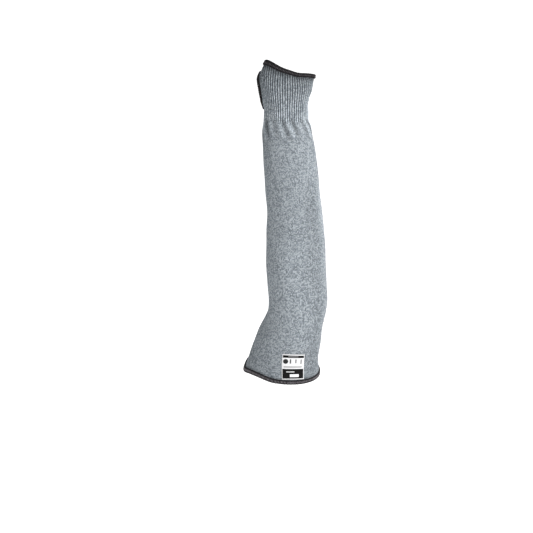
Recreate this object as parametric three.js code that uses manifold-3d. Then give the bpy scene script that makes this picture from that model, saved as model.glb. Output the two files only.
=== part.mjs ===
// A knitted arm guard: a plain-knit sleeve that runs from above the elbow to the wrist, a ribbed cuff
// with a thumb opening, a bound edge on each of its three openings, and a small printed label.
// It is modelled as it sits on an arm, hollow and open at both ends.
// Millimetres, +Z up along the arm. The origin is the centre of the upper-arm opening, halfway up its
// hem. +X is the side of the elbow's point, -Y the back of the hand and -X the side of the thumb.
import * as THREE from "three";
import { mergeVertices } from "three/addons/utils/BufferGeometryUtils.js";
import Module from "manifold-3d";

const wasm = await Module();
wasm.setup();

// Heights, taken on the middle line
const sleeveHeight = 424; // from the upper-arm opening to the palm opening
const cuffHeight = 66; // the ribbed part of it
const bodyHeight = sleeveHeight - cuffHeight;

// Outside width (X) and depth (Y) of the knit
const arm = { width: 106, depth: 104 };
const elbow = { width: 84, depth: 92 };
const forearm = { width: 85, depth: 84 };
const wrist = { width: 63, depth: 45 };
const palm = { width: 71, depth: 35 };

// How the arm bends
const elbowShift = 22.6; // the elbow stands this far to the side of the upper-arm opening
const palmShift = 12; // and the palm opening this far
const elbowHeight = 100; // the forearm leans back from here
const elbowReach = 60; // the bend is spread over this height
const forearmLean = 17; // degrees
const webPull = 16; // the web of the thumb draws the palm edge up by this much
const webReach = 0.32; // and it is felt this far to each side, as a share of the way round
const palmTip = 6; // degrees by which the palm opening tips back, over the lean of the forearm

// Knit
const fabricWall = 1.8;
const ribCount = 52;
const ribRelief = 0.9; // a rib's crest stands this far above the furrow beside it
const ribFade = 5; // the ribs flatten over this distance beside a binding
const gatherCount = 13; // folds where the body is drawn in to the cuff
const gatherRelief = 1.6;
const gatherPeak = 8; // deepest this far below the cuff
const gatherReach = 34; // and gone this far below it
const creaseDepth = 1; // the fold inside the elbow
const creaseReach = 15; // up and down
const creaseSpread = 0.2; // to each side, as a share of the way round
const creaseHeight = 0.89 * elbowHeight;

// Bound edges
const hemReach = 3.5; // the binding covers this much of the fabric's edge
const hemShoulder = 1; // its free edges are rounded over this length
const hemBulk = 1.3; // it stands this far off its face
const hemLip = 1.5; // and this far past its end
const clearance = 0.5; // left between one piece and the next

// Thumb opening, measured along the knit
const thumbLength = 44;
const thumbSpread = 25; // how far a thumb holds it apart
const thumbBridge = 17; // knit left between it and the palm edge
const thumbTurn = 0.702; // its middle, as a share of the way round from the front

// Label
const labelWidth = 32.5;
const labelHeight = 37;
const labelThickness = 0.6;
const labelGap = 1.4; // above the hem
const labelTurn = 0.022; // its middle, as a share of the way round from the front
const labelLean = 5.7; // degrees by which the run of the knit leans under it

const { degToRad, smoothstep, clamp } = THREE.MathUtils;
const thumbSide = 0.75; // -X, as a share of the way round from the front

// Cross-sections of the body. at: share of bodyHeight. wide, deep: shares of the place's own size.
// side: the middle's place in X, as a share of elbowShift. roll: degrees by which it falls to +X.
// skew: how far the front half leans to +X, as a share of the half width.
const bodySections = [
  { at: 0.0, place: arm, wide: 1.0, deep: 1.0, side: 0, roll: 3, skew: 0.13 },
  { at: 0.074, place: arm, wide: 0.9, deep: 0.97, side: 0.2, roll: 3.5, skew: 0.12 },
  { at: 0.144, place: arm, wide: 0.85, deep: 0.94, side: 0.42, roll: 4, skew: 0.1 },
  { at: 0.214, place: elbow, wide: 1.01, deep: 1.02, side: 0.73, roll: 4, skew: 0.06 },
  { at: 0.249, place: elbow, wide: 0.975, deep: 1.0, side: 0.92, roll: 3, skew: 0.04 },
  { at: 0.31, place: elbow, wide: 1.01, deep: 0.98, side: 1.02, roll: 1, skew: 0.02 },
  { at: 0.346, place: elbow, wide: 1.01, deep: 0.97, side: 0.985, roll: 0, skew: 0 },
  { at: 0.439, place: forearm, wide: 1.0, deep: 1.03, side: 0.875, roll: -1, skew: 0 },
  { at: 0.564, place: forearm, wide: 0.97, deep: 0.98, side: 0.85, roll: -1, skew: 0 },
  { at: 0.656, place: forearm, wide: 0.925, deep: 0.92, side: 0.77, roll: -2, skew: 0 },
  { at: 0.813, place: forearm, wide: 0.913, deep: 0.8, side: 0.55, roll: -2, skew: 0 },
  { at: 0.906, place: forearm, wide: 0.875, deep: 0.7, side: 0.41, roll: -2, skew: 0 },
  { at: 0.968, place: wrist, wide: 1.11, deep: 1.15, side: 0.29, roll: -1, skew: 0 },
];

// Cross-sections of the cuff. at: share of cuffHeight. side: share of palmShift. The rest is as above.
const cuffSections = [
  { at: 0.02, place: wrist, wide: 1.01, deep: 1.01, side: 0.44, roll: 0, skew: 0 },
  { at: 0.17, place: wrist, wide: 1.0, deep: 1.0, side: 0.46, roll: 0, skew: 0 },
  { at: 0.32, place: wrist, wide: 1.06, deep: 0.98, side: 0.34, roll: 1, skew: 0 },
  { at: 0.49, place: palm, wide: 1.03, deep: 1.22, side: 0.29, roll: 2, skew: 0 },
  { at: 0.67, place: palm, wide: 1.12, deep: 1.17, side: 0.33, roll: 4, skew: 0 },
  { at: 0.84, place: palm, wide: 1.075, deep: 1.08, side: 0.62, roll: 5, skew: 0 },
  { at: 1.0, place: palm, wide: 1.0, deep: 1.0, side: 1.0, roll: 6, skew: 0 },
];

const sectionFrom = (row, z, shift) => ({
  z,
  across: row.wide * row.place.width,
  deep: row.deep * row.place.depth,
  side: row.side * shift,
  roll: row.roll,
  skew: row.skew,
});
const sections = [
  ...bodySections.map((row) => sectionFrom(row, row.at * bodyHeight, elbowShift)),
  ...cuffSections.map((row) => sectionFrom(row, bodyHeight + row.at * cuffHeight, palmShift)),
];

// The slope of a column at a row, taken so that the curve through the rows never overshoots them.
function slopeAt(column, i) {
  const rise = (a, b) => (sections[b][column] - sections[a][column]) / (sections[b].z - sections[a].z);
  if (i === 0) return rise(0, 1);
  if (i === sections.length - 1) return rise(i - 1, i);
  const before = rise(i - 1, i);
  const after = rise(i, i + 1);
  return before * after > 0 ? (2 * before * after) / (before + after) : 0;
}

// A column's value at height z: a cubic between two rows, and a straight line beyond the ends.
function columnAt(column, z) {
  const last = sections.length - 1;
  if (z <= sections[0].z) return sections[0][column] + slopeAt(column, 0) * (z - sections[0].z);
  if (z >= sections[last].z) return sections[last][column] + slopeAt(column, last) * (z - sections[last].z);
  const i = sections.findIndex((row) => row.z > z) - 1;
  const step = sections[i + 1].z - sections[i].z;
  const t = (z - sections[i].z) / step;
  const start = sections[i][column];
  const end = sections[i + 1][column];
  const leave = slopeAt(column, i) * step;
  const arrive = slopeAt(column, i + 1) * step;
  return (
    start * (2 * t ** 3 - 3 * t ** 2 + 1) +
    leave * (t ** 3 - 2 * t ** 2 + t) +
    end * (3 * t ** 2 - 2 * t ** 3) +
    arrive * (t ** 3 - t ** 2)
  );
}

// The outline of the section at height z, in its own plane: an ellipse whose front half may lean to +X.
// It starts at the front and runs to +X.
class SectionOutline extends THREE.Curve {
  constructor(z) {
    super();
    this.halfWidth = columnAt("across", z) / 2;
    this.halfDepth = columnAt("deep", z) / 2;
    this.lean = (-columnAt("skew", z) * this.halfWidth) / this.halfDepth;
  }

  getPoint(t, target = new THREE.Vector2()) {
    const angle = 2 * Math.PI * t - Math.PI / 2;
    const y = this.halfDepth * Math.sin(angle);
    return target.set(this.halfWidth * Math.cos(angle) + this.lean * y, y);
  }

  normalAt(point) {
    const across = (point.x - this.lean * point.y) / this.halfWidth ** 2;
    return new THREE.Vector2(across, point.y / this.halfDepth ** 2 - this.lean * across).normalize();
  }
}

const outlines = new Map();
function outlineAt(z) {
  if (!outlines.has(z)) outlines.set(z, new SectionOutline(z));
  return outlines.get(z);
}

// How far round the sleeve one place is from another, the short way: 0 to 0.5.
const turnsApart = (a, b) => Math.abs(((a - b + 1.5) % 1) - 0.5);

// 1 at a place round the sleeve, falling smoothly to 0 at reach to each side of it.
function nearTurn(turn, middle, reach) {
  const share = Math.min(1, turnsApart(turn, middle) / reach);
  return (1 + Math.cos(Math.PI * share)) / 2;
}

// How far up the cuff a height is: 0 below it, 1 at the palm opening.
const upCuff = (z) => Math.max(0, z - bodyHeight) / cuffHeight;

// From the elbow up, the middle line leans back and the sections tip with it. The lean grows over
// elbowReach as a smoothstep does, and the distance back is what that adds up to. Up the cuff the
// sections tip further.
function leanAt(z) {
  const share = clamp((z - elbowHeight) / elbowReach + 0.5, 0, 1);
  const past = Math.max(0, z - elbowHeight - elbowReach / 2);
  return {
    tip: degToRad(forearmLean * share ** 2 * (3 - 2 * share) + palmTip * upCuff(z) ** 2),
    back: Math.tan(degToRad(forearmLean)) * (elbowReach * (share ** 3 - share ** 4 / 2) + past),
  };
}

// A point of the knit's outer face, turn round the sleeve and z up it, moved out by lift.
function place(turn, z, lift = 0) {
  const outline = outlineAt(z);
  const flat = outline.getPointAt(((turn % 1) + 1) % 1);
  flat.addScaledVector(outline.normalAt(flat), lift);
  const roll = degToRad(columnAt("roll", z));
  const { tip, back } = leanAt(z);
  const drawnUp = webPull * upCuff(z) * nearTurn(turn, thumbSide, webReach);
  return new THREE.Vector3(
    columnAt("side", z) + flat.x * Math.cos(roll),
    back + flat.y * Math.cos(tip),
    z - flat.x * Math.sin(roll) - flat.y * Math.sin(tip) + drawnUp,
  );
}

const girthAt = (z) => outlineAt(z).getLength();

// A closed band: a closed profile of profileCount points, carried round a closed loop of loopCount steps.
function bandGeometry(loopCount, profileCount, pointAt) {
  const positions = [];
  const index = [];
  for (let i = 0; i < loopCount; i++)
    for (let j = 0; j < profileCount; j++) positions.push(...pointAt(i / loopCount, j, i));
  const corner = (i, j) => (i % loopCount) * profileCount + (j % profileCount);
  for (let i = 0; i < loopCount; i++)
    for (let j = 0; j < profileCount; j++) {
      index.push(corner(i, j), corner(i + 1, j), corner(i + 1, j + 1));
      index.push(corner(i, j), corner(i + 1, j + 1), corner(i, j + 1));
    }
  const geometry = new THREE.BufferGeometry();
  geometry.setAttribute("position", new THREE.Float32BufferAttribute(positions, 3));
  return geometry.setIndex(index);
}

// A wall between two heights: up its outer face and down its inner one. shape gives the lift of the knit.
function wallGeometry(heights, loopCount, shape) {
  const profile = [
    ...heights.map((z) => ({ z, inner: false })),
    ...heights.toReversed().map((z) => ({ z, inner: true })),
  ];
  return bandGeometry(loopCount, profile.length, (turn, j, i) => {
    const { z, inner } = profile[j];
    return place(turn, z, shape(turn, z, i) - (inner ? fabricWall : 0));
  });
}

// The binding's profile, as [distance past the fabric's end, lift]. It is a U over the fabric's edge.
const bindingProfile = [
  [-hemReach, clearance],
  [hemShoulder - hemReach, clearance + hemBulk],
  [0, clearance + hemBulk],
  [clearance + hemLip, -0.5 * fabricWall],
  [0, -fabricWall - clearance - hemBulk],
  [hemShoulder - hemReach, -fabricWall - clearance - hemBulk],
  [-hemReach, -fabricWall - clearance],
  [clearance, -fabricWall - clearance],
  [clearance, clearance],
];

// The arm binding is centred on z 0, so the fabric ends a little below it.
const armEdge = -(hemReach - clearance - hemLip) / 2;
const palmEdge = sleeveHeight - clearance - hemLip;

// A binding on an opening that runs round the whole sleeve. way is -1 at the bottom and 1 at the top.
function hemGeometry(edge, way) {
  const profile = way > 0 ? bindingProfile : bindingProfile.toReversed();
  return bandGeometry(ribCount, profile.length, (turn, j) => {
    const [past, lift] = profile[j];
    return place(turn, edge + way * past, lift);
  });
}

// The knit is drawn out over the web of the thumb: there it is this much longer than it is high.
const thumbStretch = Math.hypot(1 + webPull / cuffHeight, Math.tan(degToRad(forearmLean)));
const thumbMiddle = palmEdge - (thumbBridge + thumbLength / 2) / thumbStretch;

// A point of the knit near the thumb opening: angle round its edge, and a distance into the opening.
function placeAtThumb(angle, past, lift) {
  const halfSpread = thumbSpread / 2;
  const halfLength = thumbLength / 2;
  const out = new THREE.Vector2(Math.cos(angle) / halfSpread, Math.sin(angle) / halfLength).normalize();
  const z = thumbMiddle + (halfLength * Math.sin(angle) - past * out.y) / thumbStretch;
  const sideways = halfSpread * Math.cos(angle) - past * out.x;
  return place(thumbTurn + sideways / girthAt(thumbMiddle), z, lift);
}

// 0 at the thumb opening and as far as ribFade past its binding, 1 from another ribFade out.
function clearOfThumb(turn, z) {
  const sideways = (turn - thumbTurn) * girthAt(thumbMiddle);
  const upward = (z - thumbMiddle) * thumbStretch;
  const reach = (margin) =>
    Math.hypot(sideways / (thumbSpread / 2 + margin), upward / (thumbLength / 2 + margin));
  const start = hemReach + ribFade;
  const share = (1 - reach(start)) / (reach(start + ribFade) - reach(start));
  return smoothstep(share, 0, 1);
}

function solidFrom(geometry) {
  const bare = geometry.clone();
  bare.deleteAttribute("normal");
  bare.deleteAttribute("uv");
  const merged = mergeVertices(bare, 1e-4);
  return new wasm.Manifold(
    new wasm.Mesh({
      numProp: 3,
      vertProperties: new Float32Array(merged.attributes.position.array),
      triVerts: new Uint32Array(merged.index.array),
    }),
  );
}

function geometryFrom(solid) {
  const mesh = solid.getMesh();
  const geometry = new THREE.BufferGeometry();
  geometry.setAttribute("position", new THREE.BufferAttribute(mesh.vertProperties, 3));
  return geometry.setIndex(new THREE.BufferAttribute(mesh.triVerts, 1));
}

// Each point of a geometry, read as [x, y, z], is moved to where mapping puts it.
function bend(geometry, mapping) {
  const position = geometry.attributes.position;
  for (let i = 0; i < position.count; i++)
    position.setXYZ(i, ...mapping(position.getX(i), position.getY(i), position.getZ(i)));
  return geometry;
}

// The heights from one to another in count equal steps, both ends included.
function evenly(from, to, count) {
  return Array.from({ length: count + 1 }, (_, i) => from + ((to - from) * i) / count);
}

// Lift of the plain knit: folds drawn in at the cuff, and the crease inside the elbow.
function bodyShape(turn, z) {
  const below = bodyHeight - z;
  const fade = smoothstep(below, 0, gatherPeak) * (1 - smoothstep(below, gatherPeak, gatherReach));
  const gathers = 0.5 * gatherRelief * fade * Math.cos(2 * Math.PI * gatherCount * turn);
  const dent = Math.max(0, 1 - Math.abs(z - creaseHeight) / (creaseReach / 2));
  return gathers - creaseDepth * dent * nearTurn(turn, thumbSide, creaseSpread);
}

// Lift of the ribbed knit. The ribs flatten under the bindings and where the cuff meets the body.
function cuffShape(turn, z, step) {
  const hemStart = palmEdge - hemReach - clearance;
  const fadeIn = smoothstep(z, bodyHeight, bodyHeight + ribFade);
  const fadeOut = 1 - smoothstep(z, hemStart - ribFade, hemStart);
  const furrow = step % 2 ? ribRelief : 0;
  return -furrow * fadeIn * fadeOut * clearOfThumb(turn, z);
}

function bodyGeometry() {
  const gatherStart = bodyHeight - gatherReach;
  const heights = [
    ...evenly(armEdge, creaseHeight - creaseReach / 2, 4),
    creaseHeight,
    ...evenly(creaseHeight + creaseReach / 2, gatherStart, 7),
    ...evenly(gatherStart, bodyHeight - clearance / 2, 5).slice(1),
  ];
  return wallGeometry(heights, ribCount, bodyShape);
}

const thumbSteps = 36; // round the thumb opening

function cuffGeometry() {
  const hemStart = palmEdge - hemReach - clearance;
  const heights = [
    bodyHeight + clearance / 2,
    ...evenly(bodyHeight + ribFade, hemStart - ribFade, 8),
    hemStart,
    palmEdge,
  ];
  const tube = solidFrom(wallGeometry(heights, 2 * ribCount, cuffShape));
  const past = 5; // the cutter runs this far clear of each face
  const cutter = bend(new THREE.CylinderGeometry(1, 1, 1, thumbSteps), (x, y, z) => {
    const angle = Math.atan2(-z, x); // the minus keeps its faces pointing out
    const inward = (1 - Math.hypot(x, z)) * (thumbSpread / 2);
    return placeAtThumb(angle, inward, y > 0 ? past : -fabricWall - past);
  });
  return geometryFrom(tube.subtract(solidFrom(cutter)));
}

function thumbHemGeometry() {
  return bandGeometry(thumbSteps, bindingProfile.length, (share, j) => {
    const [past, lift] = bindingProfile[j];
    return placeAtThumb(2 * Math.PI * share, past, lift);
  });
}

function labelGeometry() {
  const middle = armEdge + hemReach + labelGap + labelHeight / 2;
  return bend(new THREE.BoxGeometry(labelWidth, labelHeight, labelThickness, 6, 5, 1), (x, y, z) => {
    const upright = x - y * Math.tan(degToRad(labelLean));
    return place(labelTurn + upright / girthAt(middle), middle + y, clearance + labelThickness / 2 + z);
  });
}

const greyKnit = new THREE.MeshStandardMaterial({ color: 0x9aa1a8, roughness: 0.95, metalness: 0 });
const blackThread = new THREE.MeshStandardMaterial({ color: 0x2c2a2c, roughness: 0.85, metalness: 0 });
const labelPrint = new THREE.MeshStandardMaterial({ color: 0xe6e6e6, roughness: 0.6, metalness: 0 });

function piece(name, geometry, material) {
  const mesh = new THREE.Mesh(geometry, material);
  mesh.name = name;
  return mesh;
}

const sleeve = new THREE.Group();
sleeve.add(
  piece("sleeve_body", bodyGeometry(), greyKnit),
  piece("ribbed_cuff", cuffGeometry(), greyKnit),
  piece("upper_arm_hem", hemGeometry(armEdge, -1), blackThread),
  piece("palm_hem", hemGeometry(palmEdge, 1), blackThread),
  piece("thumb_hem", thumbHemGeometry(), blackThread),
  piece("label", labelGeometry(), labelPrint),
);

export default sleeve;
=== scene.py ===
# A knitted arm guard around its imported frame: the plain knit, the ribbed cuff with its thumb opening,
# three overlocked edges and a small woven patch, in the shape that they have when worn.
# Metres, +Z up the arm, -Y the back of the hand, +X the point of the elbow, -X the side of the thumb.
import math
import bpy
import numpy as np
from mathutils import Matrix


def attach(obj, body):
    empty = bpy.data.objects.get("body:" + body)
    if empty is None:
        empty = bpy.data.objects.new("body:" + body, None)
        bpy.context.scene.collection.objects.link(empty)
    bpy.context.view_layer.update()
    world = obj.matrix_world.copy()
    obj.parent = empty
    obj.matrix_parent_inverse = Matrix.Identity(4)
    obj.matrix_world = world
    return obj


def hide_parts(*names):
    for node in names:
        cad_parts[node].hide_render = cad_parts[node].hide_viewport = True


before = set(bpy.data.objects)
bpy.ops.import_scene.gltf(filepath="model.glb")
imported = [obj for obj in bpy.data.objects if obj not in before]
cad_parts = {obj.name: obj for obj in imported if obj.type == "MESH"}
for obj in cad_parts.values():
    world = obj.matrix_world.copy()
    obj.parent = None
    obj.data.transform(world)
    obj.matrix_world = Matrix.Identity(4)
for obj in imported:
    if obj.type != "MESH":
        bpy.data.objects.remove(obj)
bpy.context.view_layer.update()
print("frame:", ", ".join(sorted(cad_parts)))

# Camera: the photograph is an upright square, taken from a little above the sleeve
shot = {
    "pixel": 0.00145,  # size of a pixel of the photograph at the sleeve
    "side": 533,  # pixels
    "origin": (282, 368.8),  # the pixel where the middle of the arm opening lies
    "elevation": math.radians(22.5),
    "depth": -0.0526,  # the middle of what shows is this much nearer than the arm opening
    "lens": 200,
    "sensor": 36,
}


def addCamera(shot):
    across = (shot["side"] / 2 - shot["origin"][0]) * shot["pixel"]
    upward = (shot["origin"][1] - shot["side"] / 2) * shot["pixel"]
    sine, cosine = math.sin(shot["elevation"]), math.cos(shot["elevation"])
    sight = np.array([0, cosine, -sine])
    target = across * np.array([1, 0, 0]) + upward * np.array([0, sine, cosine]) + shot["depth"] * sight
    distance = shot["side"] * shot["pixel"] * shot["lens"] / shot["sensor"]
    data = bpy.data.cameras.new("camera")
    data.lens = shot["lens"]
    data.sensor_width = shot["sensor"]
    data.clip_end = 4 * distance
    camera = bpy.data.objects.new("camera", data)
    camera.location = target - distance * sight
    camera.rotation_euler = (math.pi / 2 - shot["elevation"], 0, 0)
    bpy.context.scene.collection.objects.link(camera)
    bpy.context.scene.camera = camera
    return target


target = addCamera(shot)
print("camera looks at", np.round(target, 4))

# Shape of the sleeve. The rows below are cross-sections up the arm, as shares of these sizes
form = {
    "sleeveHeight": 0.4232,
    "cuffHeight": 0.0652,
    "arm": (0.108, 0.104),  # outside width and depth of each place
    "elbow": (0.084, 0.092),
    "forearm": (0.0868, 0.084),
    "wrist": (0.063, 0.045),
    "palm": (0.071, 0.035),
    "elbowShift": 0.0231,
    "palmShift": 0.012,
    "elbowHeight": 0.1,
    "elbowReach": 0.06,
    "forearmLean": math.radians(17),
    "webPull": 0.015,
    "webReach": 0.32,
    "palmTip": math.radians(6),
    # where the cloth's two edges hang lower: middle and reach round the sleeve, and drop. This fades out
    # over sagHeight above the arm opening, and over dipHeight below the palm's edge
    "sags": ((0.715, 0.1, 0.0062), (0.86, 0.09, -0.0024)),
    "sagHeight": 0.035,
    "dips": ((0.91, 0.12, 0.0015), (0.08, 0.1, 0.001)),
    "dipHeight": 0.02,
    "thumbSide": 0.75,  # places round the sleeve are turns from the front, by way of +X
    "wall": 0.0018,
    "clearance": 0.0005,
    "hemReach": 0.0035,
    "hemLip": 0.0015,
    "hemBulk": 0.0013,
    "ribs": 52,
}
bodyHeight = form["sleeveHeight"] - form["cuffHeight"]
armEdge = -(form["hemReach"] - form["clearance"] - form["hemLip"]) / 2
palmEdge = form["sleeveHeight"] - form["clearance"] - form["hemLip"]

# at: share of the height of the body or the cuff. wide, deep: shares of the place's size.
# side: share of the shift. roll: degrees by which it falls to +X. skew: lean of the front to +X.
columns = ("at", "place", "wide", "deep", "side", "roll", "skew")
bodyRows = [
    (0.0, "arm", 1.0, 1.0, 0, 3, 0.13),
    (0.074, "arm", 0.9, 0.97, 0.2, 3.5, 0.12),
    (0.144, "arm", 0.855, 0.94, 0.46, 4, 0.1),
    (0.214, "elbow", 1.01, 1.02, 0.79, 4, 0.06),
    (0.249, "elbow", 1.0, 1.0, 0.92, 3, 0.04),
    (0.31, "elbow", 1.02, 0.98, 1.01, 1, 0.02),
    (0.346, "elbow", 1.025, 0.97, 0.98, 0, 0),
    (0.439, "forearm", 1.0, 1.03, 0.875, -1, 0),
    (0.564, "forearm", 0.97, 0.98, 0.85, -1, 0),
    (0.656, "forearm", 0.915, 0.92, 0.76, -2, 0),
    (0.813, "forearm", 0.898, 0.8, 0.54, -2, 0),
    (0.906, "forearm", 0.858, 0.7, 0.4, -2, 0),
    (0.968, "wrist", 1.11, 1.15, 0.29, -1, 0),
]
cuffRows = [
    (0.02, "wrist", 1.03, 1.01, 0.49, 0, 0),
    (0.17, "wrist", 1.02, 1.0, 0.5, 0, 0),
    (0.32, "wrist", 1.075, 0.98, 0.3, 1, 0),
    (0.49, "palm", 1.045, 1.22, 0.23, 2, 0),
    (0.67, "palm", 1.12, 1.17, 0.33, 4, 0),
    (0.84, "palm", 1.06, 1.08, 0.66, 5, 0),
    (1.0, "palm", 1.0, 1.0, 1.0, 6, 0),
]


def sectionTable():
    table = {"z": [], "halfWidth": [], "halfDepth": [], "side": [], "roll": [], "skew": []}
    stretches = (
        (bodyRows, 0, bodyHeight, form["elbowShift"]),
        (cuffRows, bodyHeight, form["cuffHeight"], form["palmShift"]),
    )
    for rows, start, height, shift in stretches:
        for values in rows:
            row = dict(zip(columns, values))
            width, depth = form[row["place"]]
            table["z"].append(start + row["at"] * height)
            table["halfWidth"].append(row["wide"] * width / 2)
            table["halfDepth"].append(row["deep"] * depth / 2)
            table["side"].append(row["side"] * shift)
            table["roll"].append(math.radians(row["roll"]))
            table["skew"].append(row["skew"])
    return {name: np.array(values, float) for name, values in table.items()}


sections = sectionTable()


def columnAt(name, z):
    # a cubic from row to row, whose slope at a row is the harmonic mean of the rises beside it, so that
    # it never overshoots, and a straight line beyond the ends
    nodes, values = sections["z"], sections[name]
    rise = np.diff(values) / np.diff(nodes)
    product = rise[:-1] * rise[1:]
    mean = 2 * product / np.where(product > 0, rise[:-1] + rise[1:], 1)
    slope = np.concatenate([rise[:1], np.where(product > 0, mean, 0), rise[-1:]])
    i = np.clip(np.searchsorted(nodes, z, side="right") - 1, 0, len(nodes) - 2)
    step = nodes[i + 1] - nodes[i]
    t = np.clip((z - nodes[i]) / step, 0, 1)
    between = values[i] + (values[i + 1] - values[i]) * (3 * t**2 - 2 * t**3)
    between += step * (slope[i] * (t**3 - 2 * t**2 + t) + slope[i + 1] * (t**3 - t**2))
    return between + slope[0] * np.minimum(z - nodes[0], 0) + slope[-1] * np.maximum(z - nodes[-1], 0)


def smooth(value, low, high):
    # 0 at low and before it, 1 at high and beyond it, and 3 t^2 - 2 t^3 between them. low may be the
    # larger of the two
    share = np.clip((value - low) / (high - low), 0, 1)
    return share**2 * (3 - 2 * share)


def nearTurn(turn, middle, reach):
    # 1 at a place round the sleeve, falling to 0 at reach to each side as a cosine does
    apart = np.abs((turn - middle + 1.5) % 1 - 0.5)
    return (1 + np.cos(math.pi * np.minimum(1, apart / reach))) / 2


def bell(value, middle, reach):
    # exp(-((value - middle) / reach)^2): 1 in the middle, falling off to both sides
    return np.exp(-(((value - middle) / reach) ** 2))


def outlineAt(angle, z):
    # an ellipse whose front half leans to +X: x = halfWidth cos + lean y, y = halfDepth sin
    halfWidth, halfDepth = columnAt("halfWidth", z), columnAt("halfDepth", z)
    lean = -columnAt("skew", z) * halfWidth / halfDepth
    x, y = halfWidth * np.cos(angle), halfDepth * np.sin(angle)
    normalX = x / halfWidth**2
    normalY = y / halfDepth**2 - lean * normalX
    length = np.hypot(normalX, normalY)
    return x + lean * y, y, normalX / length, normalY / length


# Angle of the outline at each height and each share of its length, and that length
tableHeights = np.linspace(-0.012, 0.44, 453)
tableTurns = np.linspace(0, 1, 721)


def outlineTables():
    fine = np.linspace(-math.pi / 2, 1.5 * math.pi, 1441)
    x, y, _, _ = outlineAt(fine[None, :], tableHeights[:, None])
    along = np.cumsum(np.hypot(np.diff(x), np.diff(y)), axis=1)
    along = np.concatenate([np.zeros((len(tableHeights), 1)), along], axis=1)
    angles = np.array([np.interp(tableTurns, row / row[-1], fine) for row in along])
    return angles, along[:, -1]


angleTable, girthTable = outlineTables()


def girthAt(z):
    return np.interp(z, tableHeights, girthTable)


def upCuff(z):
    return np.maximum(0, z - bodyHeight) / form["cuffHeight"]


def angleAt(turn, z):
    # the outline's angle at a share of its length, read between the rows and columns of the table
    row = (z - tableHeights[0]) / (tableHeights[1] - tableHeights[0])
    row = np.clip(row, 0, len(tableHeights) - 1.001)
    col = (turn % 1) * (len(tableTurns) - 1)
    i, j = row.astype(int), np.minimum(col.astype(int), len(tableTurns) - 2)
    f, g = row - i, col - j
    low = angleTable[i, j] * (1 - g) + angleTable[i, j + 1] * g
    high = angleTable[i + 1, j] * (1 - g) + angleTable[i + 1, j + 1] * g
    return low * (1 - f) + high * f


def drawnUp(turn, z):
    # how far the cloth is drawn up over the web of the thumb, less what its edges sag and dip
    drawn = form["webPull"] * upCuff(z) * nearTurn(turn, form["thumbSide"], form["webReach"])
    atArmEdge = 1 - smooth(z, 0, form["sagHeight"])
    atPalmEdge = smooth(z, palmEdge - form["dipHeight"], palmEdge)
    for places, atEdge in ((form["sags"], atArmEdge), (form["dips"], atPalmEdge)):
        for middle, reach, drop in places:
            drawn -= drop * nearTurn(turn, middle, reach) * atEdge
    return drawn


def onSleeve(turn, z, lift=0.0):
    # the point turn round the sleeve and z up it, moved out by lift: the outline's point at that share of
    # its length, rolled about Y, tipped about X past the elbow, and drawn up
    turn, z, lift = np.broadcast_arrays(turn, z, lift)
    x, y, normalX, normalY = outlineAt(angleAt(turn, z), z)
    x, y = x + lift * normalX, y + lift * normalY
    share = np.clip((z - form["elbowHeight"]) / form["elbowReach"] + 0.5, 0, 1)
    past = np.maximum(0, z - form["elbowHeight"] - form["elbowReach"] / 2)
    tip = form["forearmLean"] * share**2 * (3 - 2 * share) + form["palmTip"] * upCuff(z) ** 2
    back = math.tan(form["forearmLean"]) * (form["elbowReach"] * (share**3 - share**4 / 2) + past)
    roll = columnAt("roll", z)
    upward = z - x * np.sin(roll) - y * np.sin(tip) + drawnUp(turn, z)
    return np.stack([columnAt("side", z) + x * np.cos(roll), back + y * np.cos(tip), upward], axis=-1)


# Meshes: grids of points are joined into one piece, with a UV for each corner and a value for each point
def gridCorners(rows, cols, closeRows=False, closeCols=False):
    # the corners of a grid's squares, numbered row by row; a square runs along its row first, then up
    r = np.arange(rows if closeRows else rows - 1)[:, None]
    c = np.arange(cols if closeCols else cols - 1)[None, :]
    nextR, nextC = (r + 1) % rows, (c + 1) % cols
    squares = [r * cols + c, r * cols + nextC, nextR * cols + nextC, nextR * cols + c]
    return np.stack(squares, axis=-1).reshape(-1, 4)


def addPiece(name, parts, material):
    # parts hold points, the corners of their squares, a UV for each corner, and for each point how deep
    # it is sunk and its tone, which carries painted light and shade
    points, corners, uvs, first = [], [], [], 0
    values = {"sunk": [], "tone": []}
    for part in parts:
        points.append(part["points"].reshape(-1, 3))
        corners.append(part["corners"] + first)
        uvs.append(part["uv"].reshape(-1, 2))
        for key, default in (("sunk", 0), ("tone", 1)):
            values[key].append(np.broadcast_to(part.get(key, default), len(points[-1])))
        first += len(points[-1])
    points, corners = np.concatenate(points), np.concatenate(corners)
    mesh = bpy.data.meshes.new(name)
    mesh.from_pydata(points.tolist(), [], corners.tolist())
    layer = mesh.uv_layers.new(name="thread")
    layer.uv.foreach_set("vector", np.concatenate(uvs).astype(np.float32).ravel())
    for key, each in values.items():
        attribute = mesh.attributes.new(key, "FLOAT", "POINT")
        attribute.data.foreach_set("value", np.concatenate(each).astype(np.float32))
    mesh.shade_smooth()
    mesh.materials.append(material)
    piece = bpy.data.objects.new(name, mesh)
    bpy.context.scene.collection.objects.link(piece)
    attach(piece, "root")
    print(f"{name}: {2 * len(corners)} triangles")
    return piece


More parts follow.
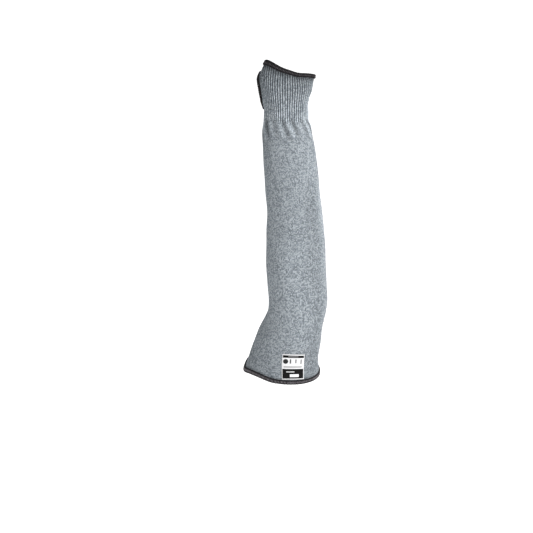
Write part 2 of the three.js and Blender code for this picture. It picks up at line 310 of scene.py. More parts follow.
def walled(outer, inner, uv, sunk=None, tone=None, joined=None):
    # a wall between two grids of points, closed all round its free edges. joined says for each row
    # whether its last column is its first one again
    rows, cols = outer.shape[:2]
    count = rows * cols
    number = np.arange(2 * count).reshape(2, rows, cols)
    front = gridCorners(rows, cols)
    back = front[:, ::-1] + count

    def rim(a, b):
        return np.stack([a[:-1], a[1:], b[1:], b[:-1]], axis=-1)

    corners = [front, back, rim(number[1, 0], number[0, 0]), rim(number[0, -1], number[1, -1])]
    free = np.ones(rows - 1, bool) if joined is None else ~(joined[:-1] & joined[1:])
    corners.append(rim(number[0, :, 0], number[1, :, 0])[free])
    corners.append(rim(number[1, :, -1], number[0, :, -1])[free])
    corners = np.concatenate(corners)
    uvs = np.concatenate([uv.reshape(-1, 2)] * 2)[corners]
    merged = number.copy()
    if joined is not None:
        merged[:, joined, -1] = number[:, joined, 0]
    used, corners = np.unique(merged.ravel()[corners], return_inverse=True)
    points = np.concatenate([outer.reshape(-1, 3), inner.reshape(-1, 3)])[used]
    part = {"points": points, "corners": corners.reshape(-1, 4), "uv": uvs}
    for key, values in (("sunk", sunk), ("tone", tone)):
        if values is not None:
            part[key] = np.concatenate([values.ravel()] * 2)[used]
    return part


def threads(paths, aside, radius, sides=6, closed=False, uvScale=1.0, tone=1.0):
    # tubes along paths: rings of sides points in the plane across the path, and an end of two squares.
    # aside is a direction that is never along the path
    count, steps = paths.shape[:2]
    if closed:
        along = np.roll(paths, -1, axis=1) - np.roll(paths, 1, axis=1)
    else:
        along = np.gradient(paths, axis=1)
    along /= np.linalg.norm(along, axis=-1, keepdims=True)
    first = aside - (aside * along).sum(-1, keepdims=True) * along
    first /= np.linalg.norm(first, axis=-1, keepdims=True)
    second = np.cross(along, first)
    angle = np.linspace(0, 2 * math.pi, sides, endpoint=False)[:, None]
    ring = first[:, :, None] * np.cos(angle) + second[:, :, None] * np.sin(angle)
    points = paths[:, :, None] + np.broadcast_to(radius, (count, steps))[:, :, None, None] * ring
    corners = gridCorners(steps, sides, closeRows=closed, closeCols=True)
    r, c = np.divmod(corners, sides)
    turned = (c == 0) & (np.arange(4)[None, :] % 3 != 0)  # the last square of a ring ends at its seam
    rowEnd = (r == 0) & (np.arange(4)[None, :] > 1)
    uv = np.stack([(r + steps * rowEnd) * uvScale, (c + sides * turned) / sides], axis=-1)
    if not closed:
        cap = np.array([[3, 2, 1, 0], [5, 4, 3, 0]])
        last = (steps - 1) * sides + cap[:, ::-1]
        corners = np.concatenate([corners, cap, last])
        uv = np.concatenate([uv, np.zeros((4, 4, 2))])
    starts = (np.arange(count) * steps * sides)[:, None, None]
    allUv = np.broadcast_to(uv, (count,) + uv.shape)
    tones = np.repeat(np.broadcast_to(tone, (count, steps)).ravel(), sides)
    return {"points": points, "corners": (corners + starts).reshape(-1, 4), "uv": allUv, "tone": tones}


# Knit: what lifts the fabric off the plain form. All of it is a function of turn and z
knit = {
    "ribRelief": 0.0012,
    "ribWave": (0.1, 0.9),  # a rib falls from crest to furrow between these values of its wave
    "ribFade": 0.0035,  # the ribs flatten over this distance beside a binding
    "ribRunOut": (0.001, 0.006),  # they run this far down into the plain knit
    "ribEnd": 0.002,  # and flatten there over this distance to each side
    "gathers": 13,
    "gatherRelief": 0.0016,
    "gatherPeak": 0.008,  # they are deepest this far below the cuff
    "gatherReach": 0.034,  # and gone this far below it
    "gatherPhase": -0.01,  # turns by which their first crest lies off the front
    "gatherSlant": 1.6,  # turns for each metre that they run to +X on their way down
    "puckers": 21,  # smaller folds between them
    "puckerShare": 0.3,  # of the gathers' relief
    "puckerPhase": 1.3,
    "puckerBeats": 3,  # waves round the sleeve by which they swell and turn over
    "puckerPeak": (0.004, 0.006),  # depths below the cuff between which they are deepest
    "puckerReach": 0.02,
    "wrinkles": ((0.079, 0.06), (0.089, 0.1)),  # height beside the elbow's point, and fall towards it
    "wrinkleDepth": 0.0009,
    "wrinkleWidth": 0.0022,
    "wrinkleTurn": 0.17,
    "wrinkleReach": 0.11,
    "creaseDepth": 0.0004,
    "creaseHeight": 0.086,
    "creaseWidth": 0.008,
    "creaseReach": 0.2,
    "swells": ((0.00025, 3, 95, 0), (0.0002, 5, -140, 1)),  # lift, waves round, radians a metre, phase
    "swellStart": (0.004, 0.03),  # heights over which the swells come in
    "swellEnd": 0.05,  # and depth below the cuff over which they go
    "wales": 156,  # columns of stitches round the sleeve
    "course": 0.00125,  # height of a stitch
}

# Thumb opening: a slit held open, with the ribs pushed aside
thumb = {
    "length": 0.044,
    "spread": 0.025,
    "bridge": 0.017,
    "turn": 0.72,
    "pushed": 0.2,  # turns to each side over which the ribs move over for it
    "pushPower": 1.5,  # how fast that fades
}
thumbStretch = math.hypot(1 + form["webPull"] / form["cuffHeight"], math.tan(form["forearmLean"]))
thumbMiddle = palmEdge - (thumb["bridge"] + thumb["length"] / 2) / thumbStretch
thumbGirth = float(girthAt(thumbMiddle))
thumbReach = thumb["length"] / 2 / thumbStretch  # half its height, measured up Z


def thumbClear(turn, z):
    # 0 under the thumb's binding, 1 from ribFade beyond it
    sideways = (turn - thumb["turn"]) * thumbGirth
    upward = (z - thumbMiddle) * thumbStretch

    def reach(more):
        across = sideways / (thumb["spread"] / 2 + more)
        return np.hypot(across, upward / (thumb["length"] / 2 + more))

    start = form["hemReach"] - knit["ribFade"] / 2
    return smooth((1 - reach(start)) / (reach(start + knit["ribFade"]) - reach(start)), 0, 1)


def ribStrength(turn, z, rib):
    # each rib runs out into the plain knit at its own height
    rng = np.random.default_rng(4)
    ends = rng.uniform(*knit["ribRunOut"], form["ribs"])[np.round(rib).astype(int) % form["ribs"]]
    runOut = smooth(z, bodyHeight - ends - knit["ribEnd"], bodyHeight - ends + knit["ribEnd"])
    hemStart = palmEdge - form["hemReach"]
    atHem = 1 - smooth(z, hemStart - knit["ribFade"] / 2, hemStart + knit["ribFade"] / 2)
    return runOut * atHem * thumbClear(turn, z)


def ribsAt(turn, z):
    # ribs counted round the knit. They stay upright where the palm opening stands off to the side
    aside = columnAt("side", np.maximum(z, bodyHeight)) - columnAt("side", bodyHeight)
    return form["ribs"] * (turn + aside / girthAt(z))


def gathersAt(turn, z):
    # 1 on a fold's crest and -1 between two, where the body is drawn in to the cuff
    below = bodyHeight - z
    fromCrest = turn + knit["gatherPhase"] - knit["gatherSlant"] * below
    return np.cos(2 * math.pi * knit["gathers"] * fromCrest)


def knitLift(rib, turn, z):
    # lift of the knit and how deep it lies in a furrow. rib counts ribs round the knit itself, which
    # differs from turn only where the thumb pushes them aside
    wave = (1 - np.cos(2 * math.pi * rib)) / 2
    furrow = smooth(wave, *knit["ribWave"]) * ribStrength(turn, z, rib)
    around, below = 2 * math.pi * turn, bodyHeight - z
    fade = smooth(below, 0, knit["gatherPeak"]) * (1 - smooth(below, knit["gatherPeak"], knit["gatherReach"]))
    folds = fade * gathersAt(turn, z) / 2
    peakStart, peakEnd = knit["puckerPeak"]
    fade = smooth(below, 0, peakStart) * (1 - smooth(below, peakEnd, knit["puckerReach"]))
    puckers = np.cos(knit["puckers"] * around + knit["puckerPhase"]) * np.cos(knit["puckerBeats"] * around)
    folds += knit["puckerShare"] * fade * puckers
    dent = bell(z, knit["creaseHeight"], knit["creaseWidth"])
    crease = knit["creaseDepth"] * dent * nearTurn(turn, form["thumbSide"], knit["creaseReach"])
    nearWrinkles = nearTurn(turn, knit["wrinkleTurn"], knit["wrinkleReach"])
    for height, fall in knit["wrinkles"]:
        level = z + fall * (turn % 1 - knit["wrinkleTurn"])
        crease += knit["wrinkleDepth"] * bell(level, height, knit["wrinkleWidth"]) * nearWrinkles
    swell = 0
    for depth, count, climb, phase in knit["swells"]:
        swell = swell + depth * np.sin(count * around + climb * z + phase)
    swell *= smooth(z, *knit["swellStart"]) * smooth(below, 0, knit["swellEnd"])
    return knit["gatherRelief"] * folds - crease + swell - knit["ribRelief"] * furrow, furrow


# Where the knit is painted lighter or darker, by the share that comes first; most rows are painted shade
# and painted highlights, as each says. A ramp grows from one height to another, a bell has a middle height
# and a reach, and either may have a middle and reach in turns
toneRamps = [
    (-0.3, bodyHeight + 0.012, palmEdge, None),  # up the cuff
    (-0.15, 0.09, 0.01, None),  # painted shade, darker down to the arm opening
    (-0.24, bodyHeight - 0.09, bodyHeight, (0.79, 0.19)),  # painted shade on the cuff on the thumb's side
    (-0.42, palmEdge - 0.011, palmEdge - 0.004, None),  # painted shadow just under the palm's binding
    (-0.2, bodyHeight - 0.06, bodyHeight - 0.12, (0.115, 0.1)),  # painted shade along the side of the elbow's point
]
toneBells = [
    (0.14, bodyHeight + 0.005, 0.01, None),  # where the body is drawn in to the cuff
    (0.22, 0.225, 0.055, (0.215, 0.075)),  # painted highlight on the side of the forearm
    (0.13, 0.152, 0.045, (0.965, 0.08)),  # its front above the elbow
]
streaks = {
    "ribs": 0.46,  # how much lighter the ribbed knit is painted than the plain knit: painted highlights on the crests beside the painted shade in the furrows
    "gathers": 0.36,  # painted highlights on the gathers' crests, with as much painted shade between them
    "start": (-0.004, 0.003),  # depths below the cuff where the gathers' streaks come in
    "end": (0.013, 0.034),  # and where they go
    "beats": 5,  # places round the sleeve where they are stronger
    "phase": 0.9,
}


def toneAt(rib, turn, z):
    # how light the knit is painted, mostly painted light and shade: the product of 1 + share * place over all
    # ramps, bells and streaks
    tone = 1 + streaks["ribs"] * ribStrength(turn, z, rib)
    for growth, rows in ((smooth, toneRamps), (bell, toneBells)):
        for share, first, second, around in rows:
            place = growth(z, first, second) * (nearTurn(turn, *around) if around else 1)
            tone = tone * (1 + share * place)
    below = bodyHeight - z
    fade = smooth(below, *streaks["start"]) * (1 - smooth(below, *streaks["end"]))
    uneven = 1 + np.sin(2 * math.pi * streaks["beats"] * turn + streaks["phase"]) / 2
    return tone * (1 + streaks["gathers"] * fade * uneven * gathersAt(turn, z))


# Shader maths: a wrapped socket adds Math nodes where it is used in an expression
class Wire:
    def __init__(self, tree, socket=None):
        self.tree = tree
        self.socket = socket

    def node(self, kind, settings, values, out=0):
        # any node: its settings first, then its sockets by name or place, each a wire or a fixed value
        node = self.tree.nodes.new(kind)
        for key, value in settings.items():
            setattr(node, key, value)
        for key, value in values.items():
            if isinstance(value, Wire):
                self.tree.links.new(value.socket, node.inputs[key])
            else:
                node.inputs[key].default_value = value
        return Wire(self.tree, node.outputs[out])

    def maths(self, operation, *values, clamp=False):
        settings = {"operation": operation, "use_clamp": clamp}
        return self.node("ShaderNodeMath", settings, dict(enumerate(values)))

    def __add__(self, other):
        return self.maths("ADD", self, other)

    def __sub__(self, other):
        return self.maths("SUBTRACT", self, other)

    def __rsub__(self, other):
        return self.maths("SUBTRACT", other, self)

    def __mul__(self, other):
        return self.maths("MULTIPLY", self, other)

    def __truediv__(self, other):
        return self.maths("DIVIDE", self, other)

    __radd__ = __add__
    __rmul__ = __mul__

    def __pow__(self, power):
        return self.maths("POWER", self, power)

    def __abs__(self):
        return self.maths("ABSOLUTE", self)

    def fract(self):
        return self.maths("FRACT", self)

    def floor(self):
        return self.maths("FLOOR", self)

    def sine(self):
        return self.maths("SINE", self)

    def clamped(self):
        return self.maths("ADD", self, 0, clamp=True)

    def ramp(self, stops):
        # a colour for this value, between the colours of stops, each a place and a colour
        result = self.node("ShaderNodeValToRGB", {}, {0: self})
        elements = result.socket.node.color_ramp.elements
        for i, (place, colour) in enumerate(stops):
            stop = elements[i] if i < 2 else elements.new(place)
            stop.position = place
            stop.color = (*colour, 1)
        return result


def newMaterial(name, fixed):
    # a Principled material with its fixed values set; returns it, its shader and a wire to start from
    material = bpy.data.materials.new(name)
    material.use_nodes = True
    shader = material.node_tree.nodes["Principled BSDF"]
    for key, value in fixed.items():
        shader.inputs[key].default_value = value
    return material, shader, Wire(material.node_tree)


def threadUv(start):
    # the two coordinates of a piece's UV map
    uv = start.node("ShaderNodeUVMap", {"uv_map": "thread"}, {})
    return [uv.node("ShaderNodeSeparateXYZ", {}, {0: uv}, out=out) for out in (0, 1)]


def pointValue(start, name):
    # what addPiece stored for each point under this name
    return start.node("ShaderNodeAttribute", {"attribute_name": name}, {}, out=2)


def flatNoise(start, x, y):
    # soft noise over the plane of two values, with about one swell to each unit
    place = start.node("ShaderNodeCombineXYZ", {}, {0: x, 1: y})
    values = {"Vector": place, "Scale": 1.0, "Detail": 2.0}
    return start.node("ShaderNodeTexNoise", {"noise_dimensions": "2D"}, values)


def textured(material, shader, colour, height, distance):
    # colour into the shader, and a height in shares of distance into its normal
    tree = material.node_tree
    tree.links.new(colour.socket, shader.inputs["Base Color"])
    bump = height.node("ShaderNodeBump", {}, {"Height": height, "Distance": distance, "Strength": 1.0})
    tree.links.new(bump.socket, shader.inputs["Normal"])
    return material


def scaled(colour, factor):
    return colour.node("ShaderNodeVectorMath", {"operation": "SCALE"}, {0: colour, "Scale": factor})


knitLook = {
    "yarn": [(0.2, (0.115, 0.135, 0.155)), (0.5, (0.345, 0.385, 0.42)), (0.8, (0.66, 0.71, 0.75))],
    "lean": 0.75,  # of a course that a stitch's legs rise from its middle to its sides
    "relief": 0.0003,
    "shade": 0.3,  # painted shade: how much darker it is between the stitches
    "sunkShade": 0.72,  # and painted shade down in a rib's furrow
    "speckle": 0.56,
    "stitchShare": 0.75,  # of the speckle that goes from stitch to stitch
    "cloudShare": 0.4,  # in soft spots
    "fibreShare": 0.2,  # and along the fibres
    "cloudGrain": 1.1,  # soft spots to a stitch
    "fibreGrain": (9, 5, 2),  # fibres across a wale, their slant, and their breaks up a course
    "fibreRelief": 0.25,
}


def knitMaterial():
    fixed = {"Roughness": 0.95, "Specular IOR Level": 0.2}
    material, shader, start = newMaterial("greyKnit", fixed)
    wale, course = threadUv(start)
    # each stitch is a V of two legs: away is 0 in the middle of its wale and 1 at its sides
    away = abs(wale.fract() * 2 - 1)
    rise = course - away * knitLook["lean"]
    across = away * 2 - 1
    along = rise.fract() * 2 - 1
    bulge = ((1 - across * across) * (1 - along * along)) ** 0.5
    cell = start.node("ShaderNodeCombineXYZ", {}, {0: wale.floor(), 1: rise.floor()})
    loose = start.node("ShaderNodeTexWhiteNoise", {"noise_dimensions": "2D"}, {"Vector": cell})
    cloud = flatNoise(start, wale * knitLook["cloudGrain"], rise * knitLook["cloudGrain"])
    perWale, slant, perCourse = knitLook["fibreGrain"]
    fibres = flatNoise(start, wale * perWale + course * slant, course * perCourse)
    speckle = (loose - 0.5) * knitLook["stitchShare"] + (cloud - 0.5) * knitLook["cloudShare"]
    speckle = speckle + (fibres - 0.5) * knitLook["fibreShare"]
    yarn = (speckle * knitLook["speckle"] + 0.5).ramp(knitLook["yarn"])
    sunk, light = pointValue(start, "sunk"), pointValue(start, "tone")
    # painted shade between the stitches and in the furrows, times the painted light and shade in the points'
    # tone
    shade = (1 - (1 - bulge) * knitLook["shade"]) * (1 - sunk * knitLook["sunkShade"]) * light
    height = bulge + fibres * knitLook["fibreRelief"]
    return textured(material, shader, scaled(yarn, shade), height, knitLook["relief"])


greyKnit = knitMaterial()

threadLook = {
    "yarn": [(0.0, (0.004, 0.0035, 0.004)), (1.0, (0.2, 0.185, 0.2))],
    "twists": 1.5,  # turns of the ply along a step of a path
    "fuzz": 900.0,  # spots of fuzz to a metre
    "fuzzShare": 0.5,  # of its tone
    "plyShare": 0.08,
    # of the points' tone, which holds the bindings' painted highlight
    "pointToneShare": 0.8,
    "dusk": 0.25,  # taken off those three
    "relief": 0.00008,
    "plyRelief": 0.5,
}


def threadMaterial():
    fixed = {"Roughness": 0.8, "Specular IOR Level": 0.2}
    material, shader, start = newMaterial("blackThread", fixed)
    along, around = threadUv(start)
    ply = ((along * threadLook["twists"] + around) * (2 * math.pi)).sine()
    place = start.node("ShaderNodeTexCoord", {}, {}, out=3)
    values = {"Vector": place, "Scale": threadLook["fuzz"], "Detail": 3.0}
    fuzz = start.node("ShaderNodeTexNoise", {}, values)
    tone = fuzz * threadLook["fuzzShare"] + ply * threadLook["plyShare"]
    # the points' tone brings in the painted highlight along each binding's lip
    tone = tone + pointValue(start, "tone") * threadLook["pointToneShare"] - threadLook["dusk"]
    colour = tone.clamped().ramp(threadLook["yarn"])
    return textured(material, shader, colour, ply * threadLook["plyRelief"] + fuzz, threadLook["relief"])


blackThread = threadMaterial()


# Body: plain knit from the arm opening to the cuff
body = {"around": 260, "rowsBelow": 140, "rowsGathered": 48, "meet": 0.00002}


def knitUv(rib, z):
    wale = np.broadcast_to(rib * knit["wales"] / form["ribs"], np.broadcast_shapes(rib.shape, z.shape))
    return np.stack([wale, np.broadcast_to(z / knit["course"], wale.shape)], axis=-1)


def buildBody():
    gathered = bodyHeight - knit["gatherReach"]
    below = np.linspace(armEdge, gathered, body["rowsBelow"], endpoint=False)
    folded = np.linspace(gathered, bodyHeight - body["meet"], body["rowsGathered"])
    z = np.concatenate([below, folded])[:, None]
    turn = np.linspace(0, 1, body["around"] + 1)[None, :]
    rib = ribsAt(turn, z)
    lift, furrow = knitLift(rib, turn, z)
    outer = onSleeve(turn, z, lift)
    inner = onSleeve(turn, z, lift - form["wall"])
    closed = np.ones(len(z), bool)
    part = walled(outer, inner, knitUv(rib, z), furrow, toneAt(rib, turn, z), joined=closed)
    return addPiece("knitBody", [part], greyKnit)


knitBody = buildBody()
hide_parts("sleeve_body")

# Cuff: ribbed knit, with the slit for the thumb where its first and last columns part
cuff = {"perRib": 8, "rowsBelow": 28, "rowsThumb": 52, "rowsAbove": 22}


def buildCuff():
    low, high = thumbMiddle - thumbReach, thumbMiddle + thumbReach
    beside = thumbMiddle - thumbReach * np.cos(np.linspace(0, math.pi, cuff["rowsThumb"]))
    below = np.linspace(bodyHeight + body["meet"], low, cuff["rowsBelow"], endpoint=False)
    above = np.linspace(high, palmEdge, cuff["rowsAbove"])[1:]
    z = np.concatenate([below, beside, above])[:, None]
    fromSlit = np.linspace(0, 1, form["ribs"] * cuff["perRib"] + 1)[None, :]
    halfOpen = np.sqrt(np.clip(1 - ((z - thumbMiddle) / thumbReach) ** 2, 0, 1))
    opened = thumb["spread"] / 2 * halfOpen / thumbGirth
    opened[np.abs(z - thumbMiddle) > thumbReach * 0.99999] = 0  # rounding leaves the slit's ends ajar
    apart = np.minimum(fromSlit, 1 - fromSlit)
    push = opened * np.clip(1 - apart / thumb["pushed"], 0, 1) ** thumb["pushPower"]
    turn = thumb["turn"] + fromSlit + np.where(fromSlit < 0.5, push, -push)
    rib = ribsAt(thumb["turn"] + fromSlit, z)
    lift, furrow = knitLift(rib, turn - np.where(turn > thumb["turn"] + 0.5, 1, 0), z)
    outer = onSleeve(turn, z, lift)
    inner = onSleeve(turn, z, lift - form["wall"])
    closed = opened[:, 0] == 0
    part = walled(outer, inner, knitUv(rib, z), furrow, toneAt(rib, turn, z), joined=closed)
    return addPiece("ribCuff", [part], greyKnit)


ribCuff = buildCuff()
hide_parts("ribbed_cuff")


# Overlocked edges: a band folded over the fabric's end, loops of thread over it, a row of stitches
# along its free edge and two strands that lock the loops at the lip
hem = {
    "pitch": 0.0021,
    "thread": 0.00062,  # radius
    "coreShare": 0.62,  # of the binding's bulk, the rest is thread
    "reach": {"armHem": 0.0043, "palmHem": 0.003, "thumbHem": 0.0042},  # onto the fabric
    "bend": 2.6,  # power of the superellipse over the fabric's end
    "noseRows": 14,
    "slant": 0.8,  # of the pitch that a loop runs along the edge
    "jitter": 0.08,  # of the pitch by which its start is off
    "loopSpan": 0.49,  # half turns to each side that it runs over the lip
    "loopSunk": 0.35,  # of the thread's radius that it lies in the core
    "loopSteps": 11,
    "loopRadius": (0.88, 1.1),  # of the thread's, at random
    "loopTaper": (0.25, 6),  # share by which its ends are thinner, and the power by which that grows
    "highlight": {"armHem": 1.6, "palmHem": 0.5, "thumbHem": 0.12},  # strength of the painted highlight along the lip of each binding
    "highlightPlace": (-0.36, 0.09),  # middle and reach of the painted highlight in half turns over the lip, on the outer face
    "loopToneRange": (0.6, 1.1),  # of each loop's tone, at random
    # the thread's tone beside the painted highlight
    "plainTone": 0.06,
    # half its length in pitches, its points, how far it lies off the edge and the knit, and its radius
    "dash": {"half": 0.42, "points": 5, "out": 0.0001, "lift": 0.0002, "arch": 0.0006, "radius": 0.75},
    "dashEnds": 0.7,  # of that radius that is left at its ends
    # where a strand lies and how far it weaves, in half turns over the lip, and as for a dash and loop
    "lock": {"middle": 0.17, "swing": 0.1, "sunk": 1.15, "radius": 0.8},
    "chainSteps": 6,
    "aside": 0.002,  # how far off the point lies that tells a path which way is up
    "ahead": 0.2,  # and the same for a loop, in shares of the pitch
    "ply": {"loop": 0.35, "dash": 0.3, "lock": 0.3},  # how fast the ply twists along each
}


def atPalm(share, past, lift):
    return onSleeve(share, palmEdge + past, lift)


def atArm(share, past, lift):
    return onSleeve(-share, armEdge - past, lift)


def atThumb(share, past, lift):
    # an ellipse on the knit, with past measured square to it and into the opening
    angle = 2 * math.pi * share
    halfSpread, halfLength = thumb["spread"] / 2, thumb["length"] / 2
    outX, outY = np.cos(angle) / halfSpread, np.sin(angle) / halfLength
    size = np.hypot(outX, outY)
    z = thumbMiddle + (halfLength * np.sin(angle) - past * outY / size) / thumbStretch
    return onSleeve(thumb["turn"] + (halfSpread * np.cos(angle) - past * outX / size) / thumbGirth, z, lift)


def nose(angle, reach, shrink):
    # half a superellipse over the fabric's end: from the outer face at -90 degrees to the inner at 90
    def bend(value):
        return np.sign(value) * np.abs(value) ** (2 / hem["bend"])

    length = reach + form["clearance"] + form["hemLip"] - shrink
    half = form["wall"] / 2 + form["clearance"] + form["hemBulk"] - shrink
    return length * bend(np.cos(angle)) - reach, -form["wall"] / 2 - half * bend(np.sin(angle))


def hemCore(edge, loops, reach, depth):
    # the band under the thread, folded round the fabric's end with a gap all round it
    past, lift = nose(np.linspace(-math.pi / 2, math.pi / 2, hem["noseRows"]), reach, depth)
    gap = form["clearance"]
    inner = -form["wall"] - gap
    past = np.concatenate([past, [-reach, gap, gap, -reach]])[:, None]
    lift = np.concatenate([lift, [inner, inner, gap, gap]])[:, None]
    share = np.linspace(0, 1, loops, endpoint=False)[None, :]
    points = edge(share, past, lift)
    corners = gridCorners(*points.shape[:2], closeRows=True, closeCols=True)
    return {"points": points, "corners": corners, "uv": np.zeros((len(corners), 4, 2)), "tone": 0.0}


def hemLoops(edge, loops, reach, depth, highlight, rng):
    # loops: up from the free edge on the outer face, over the lip and back on the inner face
    angle = np.linspace(-hem["loopSpan"], hem["loopSpan"], hem["loopSteps"])[None, :] * math.pi
    past, lift = nose(angle, reach, depth - hem["loopSunk"] * hem["thread"])
    starts = (np.arange(loops) + rng.uniform(-hem["jitter"], hem["jitter"], loops))[:, None] / loops
    places = starts + hem["slant"] * (angle / math.pi) / loops
    paths = edge(places, past, lift)
    ahead = edge(places + hem["ahead"] / loops, past, lift) - paths
    thinner, power = hem["loopTaper"]
    taper = 1 - thinner * np.abs(angle / math.pi * 2) ** power
    radius = hem["thread"] * rng.uniform(*hem["loopRadius"], loops)[:, None] * taper
    # a painted highlight along the middle of the lip's outer face, on top of the thread's plain tone
    highlighted = highlight * bell(angle / math.pi, *hem["highlightPlace"]) + hem["plainTone"]
    tone = highlighted * rng.uniform(*hem["loopToneRange"], loops)[:, None]
    return threads(paths, ahead, radius, uvScale=hem["ply"]["loop"], tone=tone)


def hemDashes(edge, loops, reach):
    # stitches: short dashes along the free edge of the outer face
    dash = hem["dash"]
    step = np.linspace(-dash["half"], dash["half"], dash["points"])[None, :]
    arch = 1 - (2 * step) ** 2
    places = (np.arange(loops)[:, None] + 0.5 + step) / loops
    past = -reach - dash["out"]
    paths = edge(places, past, form["clearance"] + dash["lift"] + dash["arch"] * arch)
    above = edge(places, past, form["clearance"] + hem["aside"]) - paths
    radius = dash["radius"] * hem["thread"] * (hem["dashEnds"] + (1 - hem["dashEnds"]) * arch)
    return threads(paths, above, radius, uvScale=hem["ply"]["dash"], tone=hem["plainTone"])


def hemLock(edge, loops, reach, depth, side):
    # a strand that weaves along one side of the lip
    lock = hem["lock"]
    along = np.linspace(0, 1, loops * hem["chainSteps"], endpoint=False)[None, :]
    swing = side * (lock["middle"] + lock["swing"] * np.cos(2 * math.pi * loops * along)) * math.pi
    past, lift = nose(swing, reach, depth - lock["sunk"] * hem["thread"])
    paths = edge(along, past, lift)
    above = edge(along, past + hem["aside"], lift) - paths
    radius = lock["radius"] * hem["thread"]
    return threads(paths, above, radius, closed=True, uvScale=hem["ply"]["lock"], tone=hem["plainTone"])


def buildHem(name, node, edge, length, seed):
    rng = np.random.default_rng(seed)
    loops = round(length / hem["pitch"])
    reach = hem["reach"][name]
    depth = form["hemBulk"] * (1 - hem["coreShare"])
    parts = [
        hemCore(edge, loops, reach, depth),
        hemLoops(edge, loops, reach, depth, hem["highlight"][name], rng),
        hemDashes(edge, loops, reach),
        hemLock(edge, loops, reach, depth, -1),
        hemLock(edge, loops, reach, depth, 1),
    ]
    piece = addPiece(name, parts, blackThread)
    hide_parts(node)
    return piece


thumbRound = math.pi * (thumb["length"] + thumb["spread"]) / 2
armHem = buildHem("armHem", "upper_arm_hem", atArm, float(girthAt(0)), seed=1)
palmHem = buildHem("palmHem", "palm_hem", atPalm, float(girthAt(palmEdge)), seed=2)
thumbHem = buildHem("thumbHem", "thumb_hem", atThumb, thumbRound, seed=3)

# Patch: a thin woven label with plain printed fields
patch = {
    "width": 0.0325,
    "height": 0.0388,
    "thickness": 0.0006,
    "gap": 0.0016,
    "bow": 0.0009,  # its middle is set this much higher than its sides
    "turn": 0.019,
    "lean": math.radians(6.8),
    "cells": (52, 58),
    "rounded": (0.00025, 0.0006),  # how far its faces round off, and over what distance
}

# The print on it, in millimetres from its lower left corner: its fields' left, right, low and high side
# and tone, from 0 for black to 1 for white
printed = [
    (0.9, 31.6, 33.4, 37.3, 0.0),
    (8.5, 23.0, 34.5, 36.2, 0.22),
    (0.9, 31.4, 1.5, 16.6, 0.0),
    (6.2, 18.0, 11.2, 12.9, 0.7),
    (11.4, 24.5, 3.9, 8.4, 1.0),
    (11.0, 13.0, 24.8, 31.4, 0.1),
    (18.9, 20.7, 25.4, 31.4, 0.14),
    (26.6, 28.4, 24.2, 31.4, 0.14),
    (2.6, 29.0, 18.6, 20.6, 0.38),
]
disc = {"x": 5.2, "y": 27.9, "radius": 3.7, "tone": 0.03}
patchLook = {
    "ground": 0.9,  # tone
    "ink": [(0.0, (0.003, 0.003, 0.003)), (1.0, (0.92, 0.92, 0.93))],
    "bleed": 0.12,  # millimetres over which a field ends
    "weave": 14,  # radians a millimetre
    "weaveShare": 0.015,
    "relief": 0.00004,
}


def patchMaterial():
    fixed = {"Roughness": 0.8, "Specular IOR Level": 0.15}
    material, shader, start = newMaterial("wovenPatch", fixed)
    x, y = threadUv(start)
    bleed = patchLook["bleed"]

    def within(value, low, high):
        return ((value - low) / bleed).clamped() * ((high - value) / bleed).clamped()

    tone = patchLook["ground"]
    for left, right, low, high, field in printed:
        mask = within(x, left, right) * within(y, low, high)
        tone = mask * field + (1 - mask) * tone
    far = ((x - disc["x"]) ** 2 + (y - disc["y"]) ** 2) ** 0.5
    mask = ((disc["radius"] - far) / bleed).clamped()
    tone = mask * disc["tone"] + (1 - mask) * tone
    weave = (x * patchLook["weave"]).sine() * (y * patchLook["weave"]).sine()
    colour = (tone + weave * patchLook["weaveShare"]).ramp(patchLook["ink"])
    return textured(material, shader, colour, weave, patchLook["relief"])


def buildPatch():
    middle = armEdge + form["hemReach"] + patch["gap"] + patch["height"] / 2
    x = np.linspace(-0.5, 0.5, patch["cells"][0])[None, :] * patch["width"]
    y = np.linspace(-0.5, 0.5, patch["cells"][1])[:, None] * patch["height"]
    upright = x - y * math.tan(patch["lean"])
    turn = patch["turn"] + upright / girthAt(middle + y)
    edgeX, edgeY = patch["width"] / 2 - np.abs(x), patch["height"] / 2 - np.abs(y)
    depth, over = patch["rounded"]
    rounded = depth * (1 - np.sqrt(np.clip(np.minimum(edgeX, edgeY) / over, 0, 1)))
    z = middle + y + patch["bow"] * (1 - (2 * x / patch["width"]) ** 2)
    front = onSleeve(turn, z, form["clearance"] + patch["thickness"] - rounded)
    back = onSleeve(turn, z, form["clearance"] + rounded)
    fromCorner = np.broadcast_arrays(x + patch["width"] / 2, y + patch["height"] / 2)
    uv = 1000 * np.stack(fromCorner, axis=-1)  # millimetres
    part = walled(front, back, uv)
    piece = addPiece("patch", [part], patchMaterial())
    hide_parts("label")
    return piece


label = buildPatch()

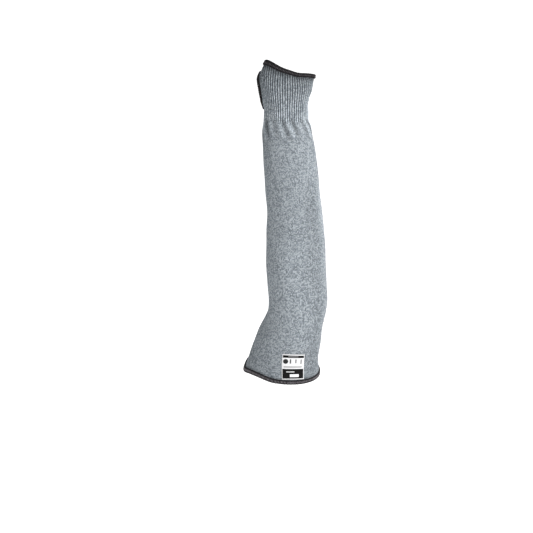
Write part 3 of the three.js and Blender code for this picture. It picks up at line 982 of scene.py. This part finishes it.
# Floor and light: a pale sheet of floor well below the sleeve, soft light from all round, more from the
# right and less from the left
studio = {
    "floor": -0.3,
    "floorHalf": 3,
    "floorGlow": 0.6,
    "skyLeft": 0.16,
    "skyRight": 1.48,
    "lamps": {
        # turn from the front to +X and rise, in degrees
        "key": {"turn": 56, "rise": 42, "distance": 2.1, "size": 1.4, "power": 16},
        "fill": {"turn": -12, "rise": 40, "distance": 2.8, "size": 1.6, "power": 19},
    },
}


def addFloor():
    half, level = studio["floorHalf"], studio["floor"]
    mesh = bpy.data.meshes.new("floor")
    corners = [(-half, -half, level), (half, -half, level), (half, half, level), (-half, half, level)]
    mesh.from_pydata(corners, [], [(0, 1, 2, 3)])
    fixed = {
        "Base Color": (0.9, 0.9, 0.9, 1),
        "Roughness": 0.9,
        "Emission Color": (1, 1, 1, 1),
        "Emission Strength": studio["floorGlow"],
    }
    mesh.materials.append(newMaterial("paleFloor", fixed)[0])
    floor = bpy.data.objects.new("floor", mesh)
    bpy.context.scene.collection.objects.link(floor)


def addLamp(name, lamp):
    # an area light that faces the sleeve
    turn, rise = math.radians(lamp["turn"]), math.radians(lamp["rise"])
    away = np.array([math.sin(turn) * math.cos(rise), -math.cos(turn) * math.cos(rise), math.sin(rise)])
    data = bpy.data.lights.new(name, "AREA")
    data.size = lamp["size"]
    data.energy = lamp["power"]
    light = bpy.data.objects.new(name, data)
    light.location = target + lamp["distance"] * away
    light.rotation_euler = (math.pi / 2 - rise, 0, turn)
    bpy.context.scene.collection.objects.link(light)


def addSky():
    # white to the camera. Its light grows from left to right as the square of the way's X does
    world = bpy.data.worlds.new("sky")
    world.use_nodes = True
    start = Wire(world.node_tree)
    way = start.node("ShaderNodeTexCoord", {}, {}, out=0)
    right = start.node("ShaderNodeSeparateXYZ", {}, {0: way})
    lit = (right * 0.5 + 0.5) ** 2 * (studio["skyRight"] - studio["skyLeft"]) + studio["skyLeft"]
    seen = start.node("ShaderNodeLightPath", {}, {})
    background = world.node_tree.nodes["Background"]
    background.inputs["Color"].default_value = (1, 1, 1, 1)
    world.node_tree.links.new((seen + (1 - seen) * lit).socket, background.inputs["Strength"])
    bpy.context.scene.world = world


addFloor()
for lampName, lamp in studio["lamps"].items():
    addLamp(lampName, lamp)
addSky()
bpy.context.scene.view_settings.view_transform = "Standard"
print("studio ready")
